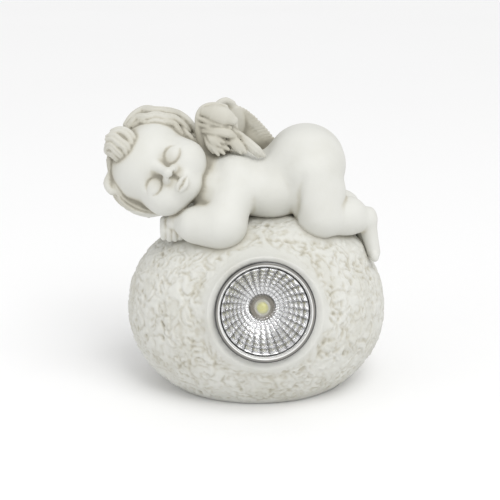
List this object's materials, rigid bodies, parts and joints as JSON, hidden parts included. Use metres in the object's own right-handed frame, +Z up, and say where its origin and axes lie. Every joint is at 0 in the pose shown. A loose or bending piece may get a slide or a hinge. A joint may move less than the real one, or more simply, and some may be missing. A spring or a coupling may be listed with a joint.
{
  "type": "sleeping winged infant garden light",
  "caption": "Cream resin garden ornament of a winged infant asleep on a rough round stone, with a small round lamp set in the stone's front.",
  "frame": {"origin": "centre of the stone's flat underside", "axes": "+X along the sleeper from head to feet, +Y away from the side with the lamp and the face, +Z up"},
  "size_m": [0.1044, 0.0884, 0.108],
  "materials": {
    "resin": "matt off-white cast resin with a beige wash in the hollows",
    "bezel": "smoky grey glossy plastic",
    "cover": "clear plastic",
    "reflector": "bright metallised plastic in small facets",
    "led": "yellow phosphor under a clear dome in a pale collar"
  },
  "bodies": {
    "root": {"angel_on_stone": "resin", "light_bezel": "bezel", "light_cover": "cover", "light_reflector": "reflector", "led": "led"}
  },
  "joints": []
}
